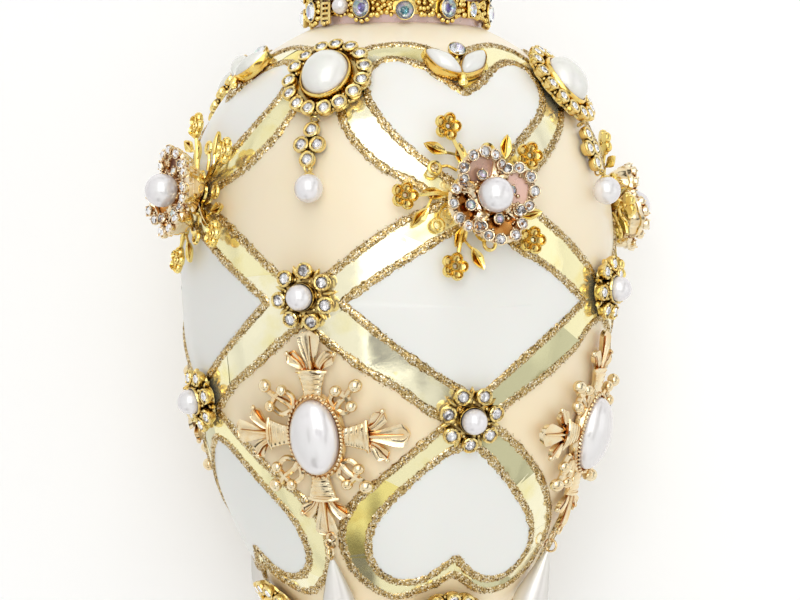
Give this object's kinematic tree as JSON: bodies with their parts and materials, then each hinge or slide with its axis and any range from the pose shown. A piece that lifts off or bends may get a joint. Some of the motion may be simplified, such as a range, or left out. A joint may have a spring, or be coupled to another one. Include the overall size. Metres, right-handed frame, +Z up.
{
  "type": "egg ornament",
  "caption": "Large decorative egg with a jewelled collar, painted heart and diamond panels, pearl and stone brooches and hanging drops, lying on its side.",
  "frame": {"origin": "middle of the bottom of the object's box, on the surface that the egg lies on", "axes": "+Z up from that surface, +Y along the egg's length towards the collar, +X to the right seen from above"},
  "size_m": [0.115, 0.1586, 0.1148],
  "materials": {
    "painted_egg": "gloss",
    "blush_pearl": "satin",
    "gold": "polished",
    "pale_gold": "polished",
    "pearl": "pearl",
    "crystal": "faceted",
    "glitter": "glitter"
  },
  "bodies": {
    "root": {"egg": "painted_egg", "neck": "blush_pearl", "collar": "gold", "medallion_front_left": "gold", "medallion_front_right": "gold", "medallion_back_right": "gold", "medallion_back_left": "gold", "medallion_pearl_front_left": "pearl", "medallion_pearl_front_right": "pearl", "medallion_pearl_back_right": "pearl", "medallion_pearl_back_left": "pearl", "drop_front_left": "pearl", "drop_front_right": "pearl", "drop_back_right": "pearl", "drop_back_left": "pearl", "twin_leaf_front": "gold", "twin_leaf_right": "gold", "twin_leaf_back": "gold", "twin_leaf_left": "gold", "sprig_front": "gold", "sprig_right": "gold", "sprig_back": "gold", "sprig_left": "gold", "rose_front": "pale_gold", "rose_right": "pale_gold", "rose_back": "pale_gold", "rose_left": "pale_gold", "rose_pearl_front": "pearl", "rose_pearl_right": "pearl", "rose_pearl_back": "pearl", "rose_pearl_left": "pearl", "waist_cluster_front_left": "gold", "waist_cluster_front_right": "gold", "waist_cluster_back_right": "gold", "waist_cluster_back_left": "gold", "low_cluster_front": "gold", "low_cluster_right": "gold", "low_cluster_back": "gold", "low_cluster_left": "gold", "lily_cross_front_left": "pale_gold", "lily_cross_front_right": "pale_gold", "lily_cross_back_right": "pale_gold", "lily_cross_back_left": "pale_gold", "lily_pearl_front_left": "pearl", "lily_pearl_front_right": "pearl", "lily_pearl_back_right": "pearl", "lily_pearl_back_left": "pearl", "teardrop_front_left": "pearl", "teardrop_front_right": "pearl", "teardrop_back_right": "pearl", "teardrop_back_left": "pearl", "base_medallion_front": "gold", "base_medallion_right": "gold", "base_medallion_back": "gold", "base_medallion_left": "gold", "base_pearl_front": "pearl", "base_pearl_right": "pearl", "base_pearl_back": "pearl", "base_pearl_left": "pearl"}
  },
  "joints": []
}
